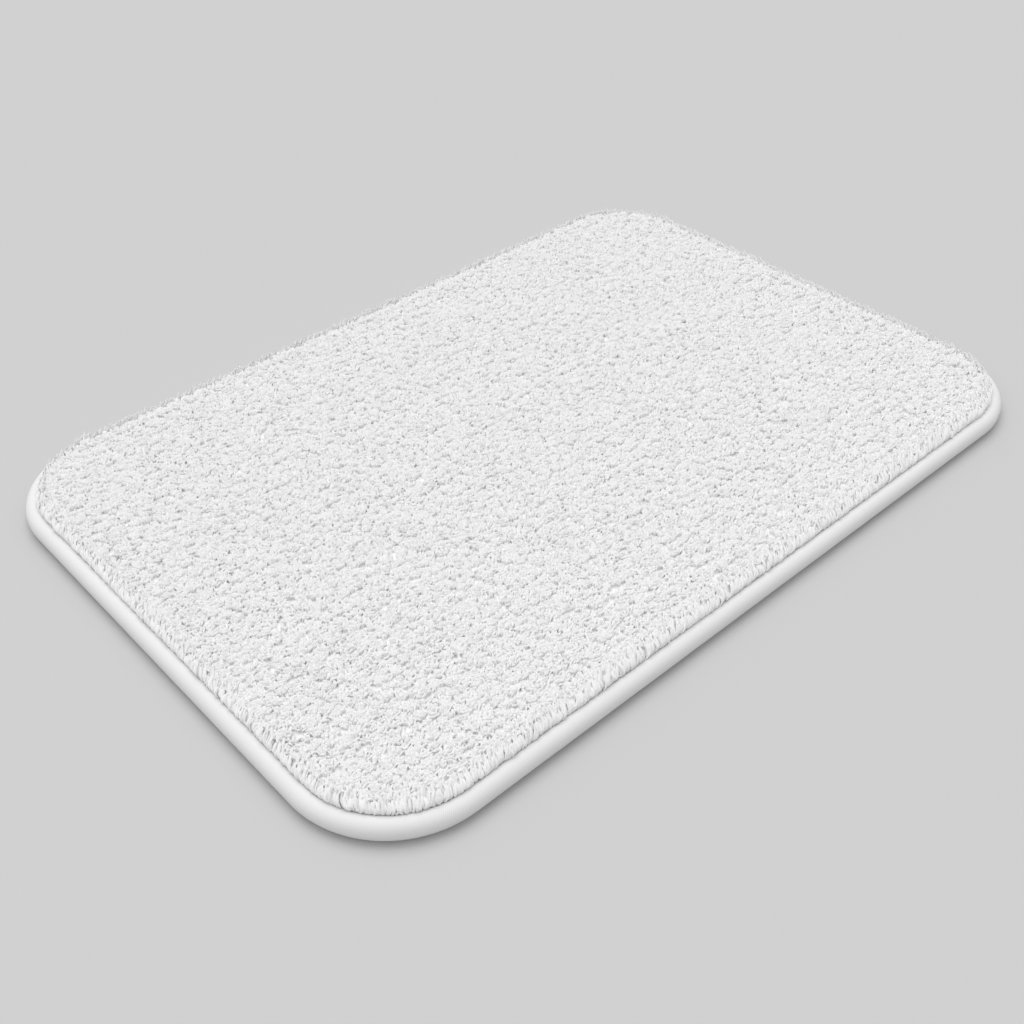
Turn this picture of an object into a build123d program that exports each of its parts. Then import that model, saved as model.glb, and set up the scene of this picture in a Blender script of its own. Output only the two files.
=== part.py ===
from build123d import *
import os
from math import asin, cos, degrees, floor, hypot, radians, sin

# Bath mat: a foam-cored plush mat with a corded welt sewn round its edge.
# Millimetres. X runs along the long side, Y along the short side and Z up.
# The origin is on the floor under the middle of the mat.

# ---- Driving dimensions ----------------------------------------------------

# Overall plan, measured over the welt
length = 650.0
width = 450.0
corner_radius = 73.0

# Welt: a round filler cord in a bias-cut cover, whose two edges lie together as a flange
welt_diameter = 14.0
cover_thickness = 0.6
cord_clearance = 0.1        # between the cord and the inside of its cover
flange_width = 12.0         # from the welt's inner side to the cut edges
flange_clearance = 0.3      # round the flange, in the rebate of the foam

# Layers, from the floor up
stud_height = 1.0
grip_film_thickness = 0.5
secondary_thickness = 1.0
foam_thickness = 5.5
latex_thickness = 0.8
backing_thickness = 1.2
pile_height = 13.0
welt_gap = 1.6              # between the welt and the cut edges of the layers

# Pile: leans out over the welt and turns in at the top with a soft shoulder
pile_welt_clearance = 0.3
pile_lean_start = 65.5      # degrees up round the welt where the pile leaves it
pile_side_inset = 6.3       # the pile's widest line, from the outside of the welt
pile_shoulder_radius = 5.0

# Studs moulded on the rubber underside, on a square grid
stud_diameter = 10.0
stud_pitch = 36.0
stud_margin = 10.0          # least distance from a stud to the edge of the sheet

# Threads
closing_thread_diameter = 0.7   # closes the cover beside the cord
seam_thread_diameter = 0.7      # holds the flange between the layers
seam_inset = 6.0                # from the cut edges of the layers
seam_thread_clearance = 0.1     # round the upper thread, under the pile

# Care label, folded in two, tacked flat to the underside at one short side
label_width = 30.0
label_length = 40.0
label_ply = 0.2
label_seam_clearance = 1.0
label_stud_clearance = 1.0
tack_length = 8.0
tack_width = 1.6
tack_thickness = 0.4

# ---- Places worked out from them ---------------------------------------------

welt_radius = welt_diameter / 2
layer_inset = welt_diameter + welt_gap
film_bottom = stud_height
secondary_bottom = film_bottom + grip_film_thickness
foam_bottom = secondary_bottom + secondary_thickness
latex_bottom = foam_bottom + foam_thickness
backing_bottom = latex_bottom + latex_thickness
pile_bottom = backing_bottom + backing_thickness
pile_top = pile_bottom + pile_height
flange_thickness = 2 * cover_thickness
flange_bottom = latex_bottom - flange_thickness
flange_end = welt_diameter + flange_width
seam_line = layer_inset + seam_inset


# ---- Shared geometry -----------------------------------------------------------

def outline(inset):
    """The mat's rounded outline, moved in from the outside of the welt."""
    return RectangleRounded(length - 2 * inset, width - 2 * inset, corner_radius - inset)


def layer(inset, bottom, top):
    """A flat layer of cloth, foam or rubber."""
    return Pos(0, 0, bottom) * extrude(outline(inset), top - bottom)


def round_the_edge(section):
    """Carry a section round the mat. Its first coordinate runs in from the outside of the
    welt and its second runs up from the floor."""
    pieces = []
    for quarter in range(4):
        across, along = (width, length) if quarter % 2 == 0 else (length, width)
        run = along - 2 * corner_radius
        side = Plane(origin=(0, -across / 2, 0), x_dir=(0, 1, 0), z_dir=(1, 0, 0))
        straight = extrude(side * section, run / 2, both=True)
        corner_axis = Axis((run / 2, corner_radius - across / 2, 0), (0, 0, 1))
        corner = revolve(Pos(run / 2, 0, 0) * (side * section), corner_axis, 90)
        turn = Rot(0, 0, 90 * quarter)
        pieces += [turn * straight, turn * corner]
    whole = pieces[0].fuse(*pieces[1:]).clean()
    return whole.solids()[0]


def disc(inset, height, diameter):
    """A round section, for cords and threads."""
    return Pos(inset, height) * Circle(diameter / 2)


def strip(first_inset, last_inset, bottom, top):
    """A rectangular section."""
    middle = Pos((first_inset + last_inset) / 2, (bottom + top) / 2)
    return middle * Rectangle(last_inset - first_inset, top - bottom)


# ---- Sub-parts --------------------------------------------------------------------

def make_welt_cover():
    """The tube of ribbed cloth round the cord, with its flange."""
    tube = disc(welt_radius, welt_radius, welt_diameter)
    flange = strip(welt_radius, flange_end, flange_bottom, latex_bottom)
    hollow = disc(welt_radius, welt_radius, welt_diameter - 2 * cover_thickness)
    return round_the_edge(tube + flange - hollow)


def make_welt_cord():
    bore = welt_diameter - 2 * cover_thickness
    return round_the_edge(disc(welt_radius, welt_radius, bore - 2 * cord_clearance))


def make_closing_thread():
    """The row of stitching close to the cord, above and below the flange."""
    inset = welt_diameter + welt_gap / 2
    above = disc(inset, latex_bottom + closing_thread_diameter / 2, closing_thread_diameter)
    below = disc(inset, flange_bottom - closing_thread_diameter / 2, closing_thread_diameter)
    return Compound([round_the_edge(above), round_the_edge(below)])


def make_secondary_backing():
    return layer(layer_inset, secondary_bottom, foam_bottom)


def make_foam_core():
    """The cushioning slab, rebated round its top edge for the flange."""
    slab = layer(layer_inset, foam_bottom, latex_bottom)
    shoulder = flange_end + flange_clearance
    rebate_bottom = flange_bottom - flange_clearance
    rebate = layer(0, rebate_bottom, latex_bottom) - layer(shoulder, rebate_bottom, latex_bottom)
    return slab - rebate


def make_latex_coat():
    return layer(layer_inset, latex_bottom, backing_bottom)


def make_primary_backing():
    return layer(layer_inset, backing_bottom, pile_bottom)


def pile_edge_section(inner_inset):
    """The pile's edge: it follows the welt, leans out over it and rounds in at the top."""
    rest_radius = welt_radius + pile_welt_clearance

    def beside_welt(angle):
        return (welt_radius + rest_radius * cos(radians(angle)),
                welt_radius + rest_radius * sin(radians(angle)))

    first_angle = degrees(asin((pile_bottom - welt_radius) / rest_radius))
    foot = beside_welt(first_angle)
    along_welt = beside_welt((first_angle + pile_lean_start) / 2)
    lean = beside_welt(pile_lean_start)
    widest = (pile_side_inset, pile_top - pile_shoulder_radius)
    turn_in = pile_shoulder_radius * cos(radians(45))
    shoulder_middle = (pile_side_inset + pile_shoulder_radius - turn_in, widest[1] + turn_in)
    shoulder_end = (pile_side_inset + pile_shoulder_radius, pile_top)
    edges = [
        ThreePointArc(foot, along_welt, lean),
        Line(lean, widest),
        ThreePointArc(widest, shoulder_middle, shoulder_end),
        Line(shoulder_end, (inner_inset, pile_top)),
        Line((inner_inset, pile_top), (inner_inset, pile_bottom)),
        Line((inner_inset, pile_bottom), foot),
    ]
    return make_face(edges)


def make_pile():
    """The whole stand of cut tufts as one soft body, with a channel for the seam thread."""
    inner_inset = layer_inset + pile_shoulder_radius
    middle = layer(inner_inset, pile_bottom, pile_top)
    body = (middle + round_the_edge(pile_edge_section(inner_inset))).clean()
    half_channel = seam_thread_diameter / 2 + seam_thread_clearance
    channel_top = pile_bottom + seam_thread_diameter + seam_thread_clearance
    channel = strip(seam_line - half_channel, seam_line + half_channel, pile_bottom, channel_top)
    return (body - round_the_edge(channel)).solids()[0]


def make_seam_thread(height):
    """One side of the lockstitch that goes round the mat through every layer."""
    return round_the_edge(disc(seam_line, height, seam_thread_diameter))


def label_box():
    """Lowest and highest X and Y of the care label, on the underside."""
    outer_end = -length / 2 + seam_line + seam_thread_diameter / 2 + label_seam_clearance
    return outer_end, outer_end + label_length, -label_width / 2, label_width / 2


def box_between(low_x, high_x, low_y, high_y, bottom, top):
    middle = Pos((low_x + high_x) / 2, (low_y + high_y) / 2, (bottom + top) / 2)
    return middle * Box(high_x - low_x, high_y - low_y, top - bottom)


def make_care_label():
    """A blank woven label, folded in two and rounded at its fold."""
    low_x, high_x, low_y, high_y = label_box()
    bottom = film_bottom - 2 * label_ply
    flat = box_between(low_x, high_x - label_ply, low_y, high_y, bottom, film_bottom)
    fold_line = Pos(high_x - label_ply, 0, film_bottom - label_ply) * Rot(90, 0, 0)
    return flat + fold_line * Cylinder(label_ply, label_width)


def make_label_tacks():
    """Two bar tacks that hold the label's outer end to the underside."""
    low_x, _, low_y, high_y = label_box()
    top = film_bottom - 2 * label_ply
    first_x = low_x + tack_width / 2
    tacks = []
    for side_y in (low_y + tack_length, high_y - tack_length):
        ends = (side_y - tack_length / 2, side_y + tack_length / 2)
        tacks.append(box_between(first_x, first_x + tack_width, *ends, top - tack_thickness, top))
    return Compound(tacks)


def is_on_sheet(x, y, reach):
    """Whether a disc of this reach at (x, y) lies within the layers' outline."""
    half_x = length / 2 - layer_inset
    half_y = width / 2 - layer_inset
    radius = corner_radius - layer_inset
    past_x = max(abs(x) - (half_x - radius), 0)
    past_y = max(abs(y) - (half_y - radius), 0)
    return hypot(past_x, past_y) + reach <= radius


def is_clear_of_label(x, y, reach):
    low_x, high_x, low_y, high_y = label_box()
    past_x = max(low_x - x, x - high_x, 0)
    past_y = max(low_y - y, y - high_y, 0)
    return hypot(past_x, past_y) >= reach


def make_grip_sheet():
    """A moulded rubber film with round studs. The mat stands on their flat bottoms."""
    radius = stud_diameter / 2
    columns = floor(length / 2 / stud_pitch)
    rows = floor(width / 2 / stud_pitch)
    studs = []
    for column in range(-columns, columns + 1):
        for row in range(-rows, rows + 1):
            x, y = column * stud_pitch, row * stud_pitch
            if not is_on_sheet(x, y, radius + stud_margin):
                continue
            if is_clear_of_label(x, y, radius + label_stud_clearance):
                studs.append(Pos(x, y, stud_height / 2) * Cylinder(radius, stud_height))
    return layer(layer_inset, film_bottom, secondary_bottom).fuse(*studs)


# ---- One STEP file for each sub-part -----------------------------------------------

upper_seam_height = pile_bottom + seam_thread_diameter / 2
lower_seam_height = film_bottom - seam_thread_diameter / 2

nodes = {
    "pile": make_pile(),
    "primary_backing": make_primary_backing(),
    "latex_coat": make_latex_coat(),
    "foam_core": make_foam_core(),
    "secondary_backing": make_secondary_backing(),
    "grip_sheet": make_grip_sheet(),
    "welt_cover": make_welt_cover(),
    "welt_cord": make_welt_cord(),
    "cover_closing_thread": make_closing_thread(),
    "upper_seam_thread": make_seam_thread(upper_seam_height),
    "lower_seam_thread": make_seam_thread(lower_seam_height),
    "care_label": make_care_label(),
    "label_tacks": make_label_tacks(),
}

os.makedirs("parts", exist_ok=True)
for name, shape in nodes.items():
    export_step(shape, f"parts/{name}.step")
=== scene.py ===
"""Bath mat: cut pile, corded welt, foam, backings, threads and label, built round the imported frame.

Metres. X runs along the long side, Y along the short side and Z up from the floor.
"""

import math
from functools import partial

import bmesh
import bpy
import numpy as np
from mathutils import Matrix, Vector, noise


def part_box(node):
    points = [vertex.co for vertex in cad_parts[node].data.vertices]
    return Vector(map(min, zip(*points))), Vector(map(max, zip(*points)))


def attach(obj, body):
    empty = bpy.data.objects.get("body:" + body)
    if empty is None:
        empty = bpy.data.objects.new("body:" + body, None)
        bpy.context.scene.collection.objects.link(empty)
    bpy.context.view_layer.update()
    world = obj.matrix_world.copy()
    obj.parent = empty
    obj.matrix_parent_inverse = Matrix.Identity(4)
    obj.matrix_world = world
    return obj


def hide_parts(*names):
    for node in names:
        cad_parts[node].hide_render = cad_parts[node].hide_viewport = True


bl_info = {
    "name": "Bath Mat",
    "version": (1, 0, 0),
    "blender": (4, 5, 0),
    "location": "3D View > Sidebar > Bath Mat",
    "description": "Builds a plush bath mat with a corded welt, and a studio round it",
    "category": "Object",
}

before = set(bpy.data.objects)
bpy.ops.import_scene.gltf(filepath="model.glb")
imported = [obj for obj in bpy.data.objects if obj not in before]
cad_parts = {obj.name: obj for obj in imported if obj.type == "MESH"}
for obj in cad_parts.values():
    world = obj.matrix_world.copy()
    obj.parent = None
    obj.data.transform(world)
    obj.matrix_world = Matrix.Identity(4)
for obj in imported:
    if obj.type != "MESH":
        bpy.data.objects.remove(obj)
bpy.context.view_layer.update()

MM = 0.001
BODY = "root"
FULL_TURN = 2 * math.pi
GOLDEN_ANGLE = math.radians(137.508)

# ---- Sizes read from the frame ----


def low(node):
    return Vector(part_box(node)[0])


def high(node):
    return Vector(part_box(node)[1])


MAT_LENGTH = high("welt_cover").x - low("welt_cover").x
MAT_WIDTH = high("welt_cover").y - low("welt_cover").y
WELT_RADIUS = (high("welt_cover").z - low("welt_cover").z) / 2
CORD_RADIUS = (high("welt_cord").z - low("welt_cord").z) / 2
PILE_BOTTOM = low("pile").z
PILE_TOP = high("pile").z
FOAM_BOTTOM = low("foam_core").z
FOAM_TOP = high("foam_core").z
FILM_BOTTOM = high("care_label").z
LAYER_INSET = high("welt_cover").x - high("foam_core").x
SEAM_RADIUS = (high("lower_seam_thread").z - low("lower_seam_thread").z) / 2
SEAM_INSET = high("welt_cover").x - high("lower_seam_thread").x + SEAM_RADIUS
CLOSING_INSET = high("welt_cover").x - high("cover_closing_thread").x + SEAM_RADIUS

# Sizes that the frame's boxes don't give
CORNER_RADIUS = 73 * MM
COVER_THICKNESS = 0.6 * MM
FLANGE_END = 26 * MM
FLANGE_BOTTOM = FOAM_TOP - 2 * COVER_THICKNESS
FLANGE_CLEARANCE = 0.3 * MM
PILE_FOOT_INSET = 10.2 * MM     # where the pile leaves the welt
PILE_FOOT_HEIGHT = 13.3 * MM


# ---- Sizes and colours that a user may change ----

def linear(code):
    """An sRGB hex colour as linear red, green, blue and alpha."""
    parts = [int(code[i:i + 2], 16) / 255 for i in (1, 3, 5)]
    return [c / 12.92 if c <= 0.04045 else ((c + 0.055) / 1.055) ** 2.4 for c in parts] + [1.0]


def length_property(name, value, about):
    return bpy.props.FloatProperty(
        name=name, description=about, default=value, min=0, precision=5, unit="LENGTH")


def colour_property(name, code, about):
    return bpy.props.FloatVectorProperty(
        name=name, description=about, default=linear(code)[:3], subtype="COLOR", min=0, max=1)


class BathMatSizes(bpy.types.PropertyGroup):
    stitch_spacing: length_property("Stitch spacing", 5.6 * MM, "Between tufts in one row")
    row_spacing: length_property("Row spacing", 5.8 * MM, "Between rows of tufts")
    strands: bpy.props.IntProperty(
        name="Strands", description="Strands in each tuft", default=10, min=3, max=30)
    strand_radius: length_property("Strand radius", 1.35 * MM, "Half the width of a strand")
    tuft_radius: length_property("Tuft radius", 1.7 * MM, "Half the width of a tuft at its root")
    fan: bpy.props.FloatProperty(
        name="Fan", description="How far a tuft spreads, as a slope", default=0.4, min=0, max=1)
    scatter: bpy.props.FloatProperty(
        name="Scatter", description="How far single strands stray, as a slope", default=0.2,
        min=0, max=1)
    rib_pitch: length_property("Rib pitch", 1.25 * MM, "Between ribs of the welt's cloth")
    rib_depth: length_property("Rib depth", 0.07 * MM, "Height of a rib over its valleys")
    stitch_pitch: length_property("Stitch pitch", 4.4 * MM, "Between stitches of a seam")
    seed: bpy.props.IntProperty(name="Seed", description="Random seed of the pile", default=7)


class BathMatColours(bpy.types.PropertyGroup):
    pile: colour_property("Pile", "#F1F0F1", "Tips of the tufts")
    welt: colour_property("Welt", "#E9E9E9", "Ribbed cloth of the welt")
    backing: colour_property("Backing", "#E6E3DA", "Woven backings")
    foam: colour_property("Foam", "#EFEBDC", "Foam core")
    rubber: colour_property("Rubber", "#DADAD7", "Studded underside")
    floor: colour_property("Floor", "#C5C5C5", "Studio floor")


def sizes():
    return bpy.context.scene.bath_mat_sizes


def colours():
    return bpy.context.scene.bath_mat_colours


# ---- Nodes ----

MATH = "ShaderNodeMath"
VECTOR_MATH = "ShaderNodeVectorMath"
ATTRIBUTE = "GeometryNodeInputNamedAttribute"


def add_node(tree, kind, inputs=None, **settings):
    """Adds a node with its settings. Each input is a value, the output socket it links to, or
    the node whose first live output it links to."""
    made = tree.nodes.new(kind)
    for name, value in settings.items():
        setattr(made, name, value)
    for socket, value in (inputs or {}).items():
        if isinstance(value, bpy.types.Node):
            value = next(output for output in value.outputs if output.enabled)
        if isinstance(value, bpy.types.NodeSocket):
            tree.links.new(value, made.inputs[socket])
        else:
            made.inputs[socket].default_value = value
    return made


def start_tree(name, inputs):
    """A Geometry Nodes tree with named inputs, and its group input node."""
    tree = bpy.data.node_groups.new(name, "GeometryNodeTree")
    for label, kind in [("Geometry", "Geometry")] + inputs:
        tree.interface.new_socket(label, in_out="INPUT", socket_type=f"NodeSocket{kind}")
    tree.interface.new_socket("Geometry", in_out="OUTPUT", socket_type="NodeSocketGeometry")
    return tree, add_node(tree, "NodeGroupInput").outputs


def end_tree(tree, geometry, material):
    """Ends a tree with real geometry that is smooth and wears the material."""
    real = add_node(tree, "GeometryNodeRealizeInstances", {0: geometry})
    smooth = add_node(tree, "GeometryNodeSetShadeSmooth", {0: real})
    worn = add_node(tree, "GeometryNodeSetMaterial", {"Geometry": smooth, "Material": material})
    add_node(tree, "NodeGroupOutput", {0: worn})
    return tree


def run_tree(source, tree, name, values):
    """Runs a tree on a source object, and returns its result as a plain mesh piece."""
    modifier = source.modifiers.new(tree.name, "NODES")
    modifier.node_group = tree
    for item in tree.interface.items_tree:
        if item.in_out == "INPUT" and item.name in values:
            modifier[item.identifier] = values[item.name]
    bpy.context.view_layer.update()
    evaluated = source.evaluated_get(bpy.context.evaluated_depsgraph_get())
    mesh = bpy.data.meshes.new_from_object(evaluated)
    source.modifiers.remove(modifier)
    bpy.data.objects.remove(source)
    return show_mesh(mesh, name)


# ---- Mesh helpers ----

def show_mesh(mesh, name):
    mesh.name = name
    piece = bpy.data.objects.new(name, mesh)
    bpy.context.scene.collection.objects.link(piece)
    return piece


def make_mesh(name, points, faces, attributes=None, outwards=True):
    """A mesh object. Attributes map a name to one float or vector for each point."""
    mesh = bpy.data.meshes.new(name)
    mesh.from_pydata([tuple(p) for p in points], [], faces)
    for label, values in (attributes or {}).items():
        values = np.asarray(values, np.float32)
        kind, key = ("FLOAT", "value") if values.ndim == 1 else ("FLOAT_VECTOR", "vector")
        mesh.attributes.new(label, kind, "POINT").data.foreach_set(key, values.ravel())
    if outwards and faces:
        shape = bmesh.new()
        shape.from_mesh(mesh)
        bmesh.ops.recalc_face_normals(shape, faces=shape.faces)
        shape.to_mesh(mesh)
        shape.free()
        mesh.shade_smooth()
    return show_mesh(mesh, name)


def edge_length(inset):
    """Length of the mat's outline, moved in by inset."""
    straights = 2 * (MAT_LENGTH + MAT_WIDTH) - 8 * CORNER_RADIUS
    return straights + FULL_TURN * (CORNER_RADIUS - inset)


def edge_stations(distances, inset):
    """Stations round the mat, by their distance along the outline at this inset from the left
    end of the front side. Each has a core point, on the rectangle through the corners' centres,
    and an outward direction, both as complex numbers."""
    half_x = MAT_LENGTH / 2 - CORNER_RADIUS
    half_y = MAT_WIDTH / 2 - CORNER_RADIUS
    radius = CORNER_RADIUS - inset
    left = np.mod(distances, edge_length(inset))
    core = np.zeros(left.shape, complex)
    outward = np.zeros(left.shape, complex)
    corner = complex(-half_x, -half_y)
    begin = 0.0
    for side in range(4):
        along, run = 1j ** side, 2 * (half_x, half_y)[side % 2]
        on_side = (left >= begin) & (left < begin + run)
        core[on_side] = corner + along * (left[on_side] - begin)
        outward[on_side] = -1j * along
        corner += along * run
        begin += run
        on_corner = (left >= begin) & (left < begin + math.pi / 2 * radius)
        core[on_corner] = corner
        outward[on_corner] = -1j * along * np.exp(1j * (left[on_corner] - begin) / radius)
        begin += math.pi / 2 * radius
    lost = outward == 0     # past the last corner, by rounding
    core[lost] = complex(-half_x, -half_y)
    outward[lost] = -1j
    return core, outward


def place(core, outward, inset, height):
    """Points at an inset and a height, at these stations."""
    at = core + outward * (CORNER_RADIUS - inset)
    return np.stack([at.real, at.imag, np.broadcast_to(height, at.shape)], -1)


def grid_faces(rings, columns, closed):
    """Quads between rings of points that run round the mat. A closed section is a loop."""
    ring = np.arange(rings)[:, None] * columns
    after = (np.arange(rings)[:, None] + 1) % rings * columns
    column = np.arange(columns if closed else columns - 1)[None, :]
    beside = (column + 1) % columns
    faces = np.stack([ring + column, after + column, after + beside, ring + beside], -1)
    return faces.reshape(-1, 4).tolist()


def capped_faces(rings, sides):
    """Faces of a tube through rings of points, closed at both ends."""
    last = (rings - 1) * sides
    quads = grid_faces(rings, sides, closed=True)[:last]
    return quads + [tuple(range(sides)), tuple(range(last, last + sides))]


def round_body(name, section, rings, waver=0.0):
    """A body whose section, points of (inset, height), runs round the mat. The section goes
    from the middle of the top to the middle of the bottom, and is capped at both ends."""
    core, outward = edge_stations(np.arange(rings) / rings * edge_length(0), 0)
    wander = [waver * noise.noise(Vector((c.real, c.imag, 0)) * 60) for c in core + outward]
    columns = [place(core, outward, inset + np.array(wander), height) for inset, height in section]
    points = np.stack(columns, 1).reshape(-1, 3)
    first = np.arange(rings) * len(section)
    caps = [first.tolist(), (first + len(section) - 1).tolist()]
    return make_mesh(name, points, grid_faces(rings, len(section), closed=False) + caps)


def finish_piece(piece, node):
    """Fixes a piece to the mat and hides the solid it replaces."""
    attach(piece, BODY)
    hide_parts(node)


def wear(piece, material):
    piece.data.materials.clear()
    piece.data.materials.append(material)


# ---- Materials ----

def start_material(name, colour, roughness, sheen=0.0, specular=0.5):
    """A material with its plain values set. Returns it, its tree and its shader."""
    material = bpy.data.materials.new(name)
    material.use_nodes = True
    shader = material.node_tree.nodes["Principled BSDF"]
    for label, value in (
            ("Base Color", shade(colour)), ("Roughness", roughness), ("Sheen Weight", sheen),
            ("Sheen Roughness", 0.5), ("Specular IOR Level", specular), ("IOR", 1.5)):
        shader.inputs[label].default_value = value
    return material, material.node_tree, shader


def shade(colour, share=1.0):
    """An opaque colour, made lighter or darker by a share."""
    return [*(min(c * share, 1.0) for c in list(colour)[:3]), 1.0]


def two_tone(tree, shader, factor, dark, light):
    """Drives the base colour between two tones."""
    mix = add_node(tree, "ShaderNodeMix", {0: factor, 6: dark, 7: light}, data_type="RGBA")
    tree.links.new(mix.outputs[2], shader.inputs["Base Color"])


def bump_from(tree, shader, height, depth, strength):
    """Bends the shading with a height, for relief too fine to model."""
    bump = add_node(tree, "ShaderNodeBump", {"Height": height, "Distance": depth, "Strength": strength})
    tree.links.new(bump.outputs[0], shader.inputs["Normal"])


def pile_material():
    """Polyester microfibre, cut: matt and soft, never two strands alike, with painted light: the
    roots are painted a little paler than the tips, for the light that spreads between the strands."""
    tips = colours().pile
    material, tree, shader = start_material("microfibre_cut_pile", tips, 0.95, specular=0.1)
    along = add_node(tree, "ShaderNodeAttribute", attribute_name="along")
    tone = add_node(tree, "ShaderNodeAttribute", attribute_name="tone")
    # Painted light: low on a strand the colour is painted paler, fading to the tip colour; the tone
    # adds a random spread
    depth = add_node(
        tree, "ShaderNodeMapRange", {0: along.outputs["Fac"], 1: 0.2, 2: 0.8, 3: 0.0, 4: 0.75})
    lift = add_node(tree, MATH, {0: tone.outputs["Fac"], 1: 0.25, 2: depth}, operation="MULTIPLY_ADD")
    two_tone(tree, shader, lift, shade(tips, 1.04), shade(tips, 0.98))
    return material


def welt_material():
    """Polyester rib cloth, woven: a close matt weave, with painted shade that makes it a little darker
    between its ribs.
    """
    cloth = colours().welt
    material, tree, shader = start_material("polyester_rib_woven", cloth, 0.85, sheen=0.1, specular=0.2)
    place_on = add_node(tree, "ShaderNodeTexCoord").outputs["Object"]
    ridge = add_node(tree, "ShaderNodeAttribute", attribute_name="ridge")
    slub = add_node(tree, "ShaderNodeTexNoise", {"Vector": place_on, "Scale": 900.0, "Detail": 2.0})
    # Painted shade: the colour is darker where the ridge is low, in the rib valleys; the slub noise
    # adds a random tone
    lift = add_node(
        tree, MATH, {0: slub, 1: 0.3, 2: ridge.outputs["Fac"]}, operation="MULTIPLY_ADD",
        use_clamp=True)
    two_tone(tree, shader, lift, shade(cloth, 0.9), shade(cloth))
    bump_from(tree, shader, slub, 0.03 * MM, 0.6)
    return material


def woven_material(name, colour, thread, roughness=0.9):
    """A plain weave of flat threads: two crossing waves, one thread apart."""
    material, tree, shader = start_material(name, colour, roughness, specular=0.3)
    place_on = add_node(tree, "ShaderNodeTexCoord").outputs["Object"]
    # One wave of the texture is 2 pi / 20 of its scaled coordinate
    scale = FULL_TURN / 20 / (2 * thread)
    warp, weft = (
        add_node(tree, "ShaderNodeTexWave", {"Vector": place_on, "Scale": scale, "Distortion": 0.4},
                 bands_direction=axis).outputs["Fac"]
        for axis in "XY")
    cross = add_node(tree, MATH, {0: warp, 1: weft}, operation="MULTIPLY")
    two_tone(tree, shader, cross, shade(colour, 0.8), shade(colour, 1.02))
    bump_from(tree, shader, cross, 0.15 * MM, 0.8)
    return material


def mottled_material(name, colour, grain, depth, roughness, spread=0.92, specular=0.4):
    """A skin with an even grain, as on moulded rubber, cured latex or spun fibre."""
    material, tree, shader = start_material(name, colour, roughness, specular=specular)
    place_on = add_node(tree, "ShaderNodeTexCoord").outputs["Object"]
    pits = add_node(tree, "ShaderNodeTexNoise", {"Vector": place_on, "Scale": 1 / grain, "Detail": 3.0})
    two_tone(tree, shader, pits, shade(colour, spread), shade(colour, 1.03))
    bump_from(tree, shader, pits, depth, 0.7)
    return material


def foam_material():
    """Polyurethane foam, sliced: open cells under a millimetre across, warm white."""
    foam = colours().foam
    material, tree, shader = start_material("polyurethane_foam_sliced", foam, 0.95)
    place_on = add_node(tree, "ShaderNodeTexCoord").outputs["Object"]
    cells = add_node(
        tree, "ShaderNodeTexVoronoi", {"Vector": place_on, "Scale": 1 / (0.9 * MM)},
        feature="DISTANCE_TO_EDGE")
    walls = add_node(
        tree, "ShaderNodeMapRange", {0: cells.outputs["Distance"], 1: 0.0, 2: 0.25, 3: 1.0, 4: 0.0})
    two_tone(tree, shader, walls, shade(foam, 0.8), shade(foam, 1.02))
    bump_from(tree, shader, walls, 0.2 * MM, 0.8)
    return material


# ---- Pile ----

PILE_TILES = 10
BED_TOP = 18.9 * MM
NAP = (0.2, 0.25)               # the way the whole pile is brushed, as slopes
NAP_WANDER = 0.2                # how far the nap strays from patch to patch
STRAY = 0.13                    # how far single tufts stray from the nap
JITTER = (0.28, 0.26)           # how far tufts stand out of line, as shares of their spacings
SHOULDER_DEPTH = 15 * MM        # how far in from the pile's foot the tufts lean outwards
SHOULDER_CURVE = 1.6
SHOULDER_DROP = 1.7 * MM        # how much lower the outermost tufts end
EDGE_SLOPE = 0.2                # outward slope of the outermost tufts
EDGE_ROWS = (7.2 * MM, 10.8 * MM)
EDGE_ROW_STEP = 6.0 * MM
ROOT_TOP = 16.5 * MM            # where the roots start, inside the bed
TOP_MARGIN = 0.4 * MM
SWELL = 0.45 * MM               # how much whole patches of the pile rise and fall
PATCHES = 90                    # patches of the pile's height and tone, to a metre


def inward_depth(x, y):
    """Distance in from the pile's foot, and the outward direction, at points of the mat."""
    past_x = np.abs(x) - (MAT_LENGTH / 2 - CORNER_RADIUS)
    past_y = np.abs(y) - (MAT_WIDTH / 2 - CORNER_RADIUS)
    both = (past_x > 0) & (past_y > 0)
    reach = np.where(both, np.hypot(past_x, past_y), np.maximum(past_x, past_y))
    safe = np.maximum(np.hypot(past_x, past_y), 1e-9)
    out_x = np.where(both, past_x / safe, past_x >= past_y) * np.sign(x)
    out_y = np.where(both, past_y / safe, past_x < past_y) * np.sign(y)
    return CORNER_RADIUS - PILE_FOOT_INSET - reach, out_x, out_y


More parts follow.
